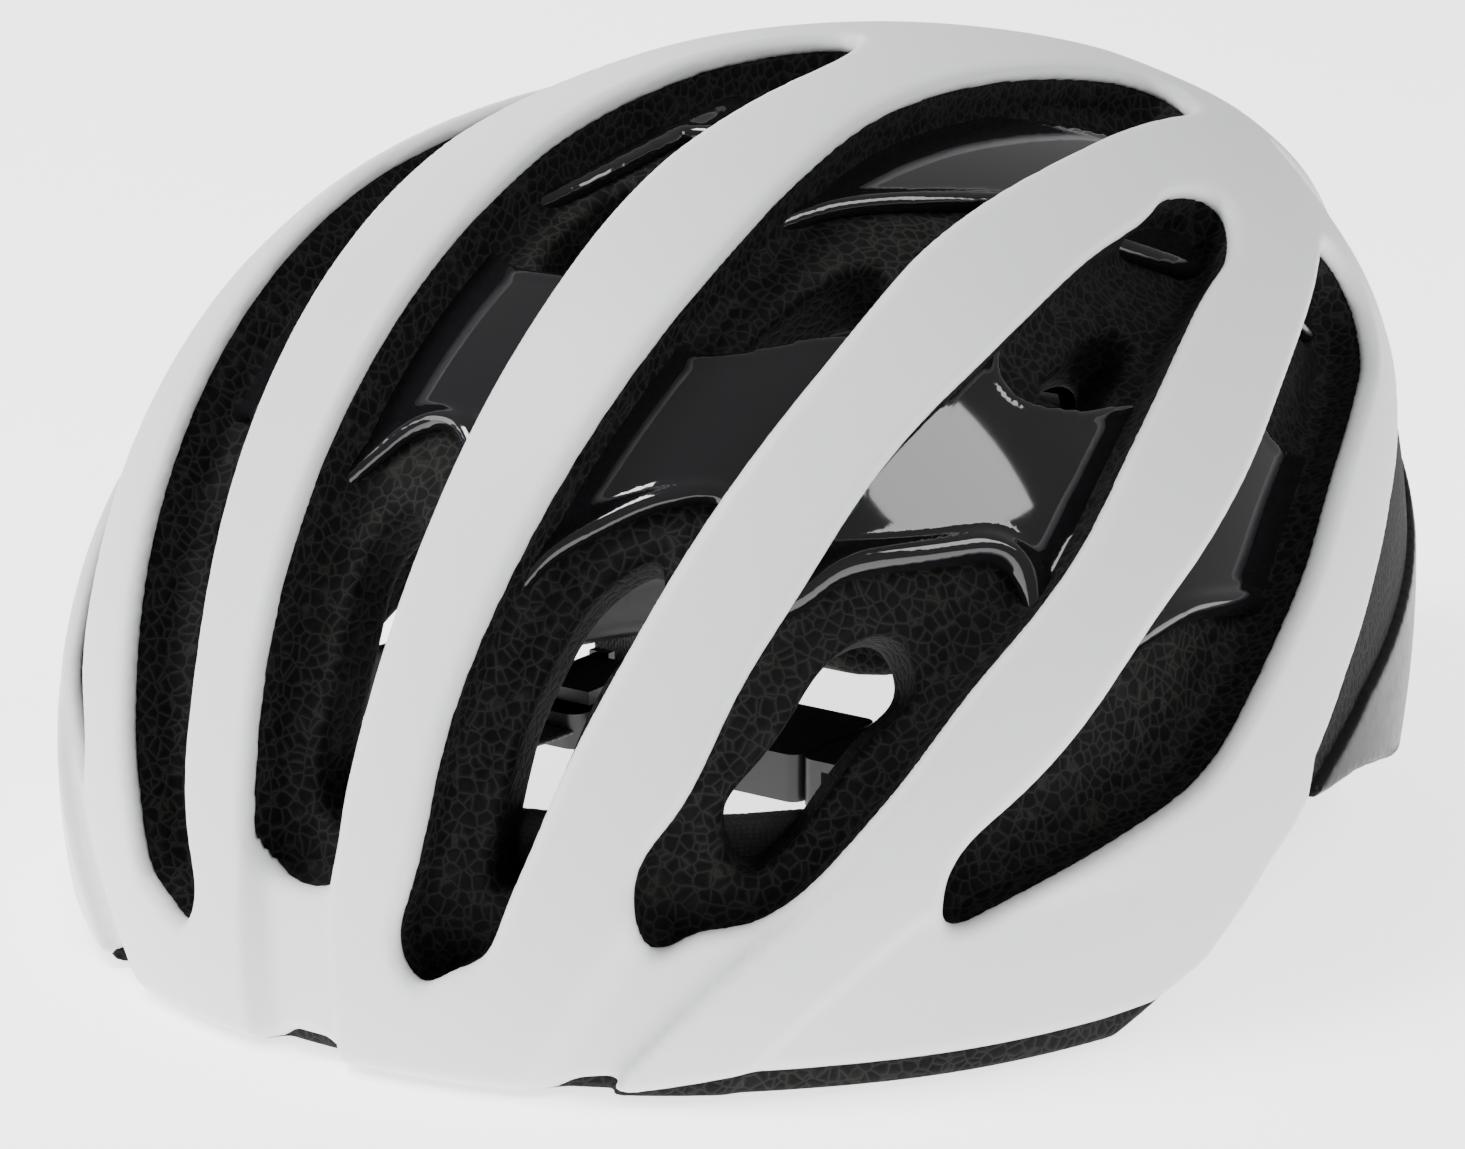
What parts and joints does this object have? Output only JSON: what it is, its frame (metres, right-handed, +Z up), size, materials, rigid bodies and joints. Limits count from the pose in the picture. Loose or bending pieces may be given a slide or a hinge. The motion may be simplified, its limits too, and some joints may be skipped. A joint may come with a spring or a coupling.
{
  "type": "cycling helmet",
  "caption": "Ribbed road cycling helmet: white skin over black bead foam, gloss cross hoops, padded cavity, dial-fitted headband and buckled straps.",
  "frame": {"origin": "middle of the bounding box, on the plane that the rim rests on", "axes": "+Y from the brow to the tail, +X to the wearer's left, +Z up to the crown"},
  "size_m": [0.21, 0.2785, 0.1338],
  "materials": {
    "shell_white": "matte",
    "bridge_gloss": "gloss",
    "nape_gloss": "gloss",
    "bead_foam": "matte",
    "pad_cloth": "matte",
    "webbing": "matte",
    "anchor_plastic": "satin",
    "band_nylon": "satin",
    "case_nylon": "satin",
    "fitting_acetal": "satin",
    "knob_plastic": "satin",
    "soft_rubber": "matte",
    "gear_acetal": "satin",
    "screw_steel": "satin"
  },
  "bodies": {
    "helmet": {"outer_shell": "shell_white", "nape_cover": "nape_gloss", "front_bridge": "bridge_gloss", "rear_bridge": "bridge_gloss", "eps_liner": "bead_foam", "brow_pad": "pad_cloth", "crown_pad_centre": "pad_cloth", "crown_pad_left": "pad_cloth", "crown_pad_right": "pad_cloth", "side_pad_left": "pad_cloth", "side_pad_right": "pad_cloth", "front_strap_anchors": "anchor_plastic", "rear_strap_anchors": "anchor_plastic", "temple_clips": "anchor_plastic", "height_anchor": "anchor_plastic", "front_strap_left": "webbing", "front_strap_right": "webbing", "rear_strap_left": "webbing", "rear_strap_right": "webbing", "chin_strap_left": "webbing", "divider_left": "fitting_acetal", "divider_right": "fitting_acetal", "buckle_female": "fitting_acetal"},
    "keeper": {"strap_keeper": "soft_rubber"},
    "lever_left": {"divider_lever_left": "fitting_acetal"},
    "lever_right": {"divider_lever_right": "fitting_acetal"},
    "buckle_plug": {"buckle_male": "fitting_acetal", "chin_strap_right": "webbing"},
    "cradle": {"cradle_housing": "case_nylon", "housing_cover": "case_nylon", "housing_screws": "screw_steel", "height_ladder": "band_nylon", "occipital_pads": "pad_cloth", "side_band_left": "band_nylon", "side_band_right": "band_nylon"},
    "arm_left": {"fit_arm_left": "band_nylon"},
    "arm_right": {"fit_arm_right": "band_nylon"},
    "dial": {"dial_knob": "knob_plastic", "dial_grip": "soft_rubber", "dial_pinion": "gear_acetal", "dial_screw": "screw_steel", "detent_wheel": "gear_acetal"}
  },
  "joints": [
    {"name": "height_tilt", "type": "hinge", "parent": "helmet", "child": "cradle", "pos_m": [0, -0.042, 0.02], "axis": [1, 0, 0], "range_deg": [0, 6]},
    {"name": "dial_spin", "type": "hinge", "parent": "cradle", "child": "dial", "pos_m": [0, 0.072, 0.02], "axis": [0, -1, 0], "range_deg": [0, 137.5]},
    {"name": "arm_left_slide", "type": "slide", "parent": "cradle", "child": "arm_left", "axis": [-1, 0, 0], "range_m": [0, 0.012]},
    {"name": "arm_right_slide", "type": "slide", "parent": "cradle", "child": "arm_right", "axis": [1, 0, 0], "range_m": [0, 0.012]},
    {"name": "lever_left_turn", "type": "hinge", "parent": "helmet", "child": "lever_left", "pos_m": [0.059, 0.008, 0.0128], "axis": [0, 1, 0], "range_deg": [0, 70]},
    {"name": "lever_right_turn", "type": "hinge", "parent": "helmet", "child": "lever_right", "pos_m": [-0.059, 0.008, 0.0128], "axis": [0, -1, 0], "range_deg": [0, 70]},
    {"name": "buckle_release", "type": "slide", "parent": "helmet", "child": "buckle_plug", "axis": [-1, 0, 0], "range_m": [0, 0.012]},
    {"name": "keeper_slide", "type": "slide", "parent": "helmet", "child": "keeper", "axis": [1, 0, 0], "range_m": [-0.0075, 0.0065]}
  ],
  "couplings": [
    {"joint": "arm_left_slide", "follows": "dial_spin", "m_per_rad": 0.005},
    {"joint": "arm_right_slide", "follows": "dial_spin", "m_per_rad": 0.005}
  ]
}
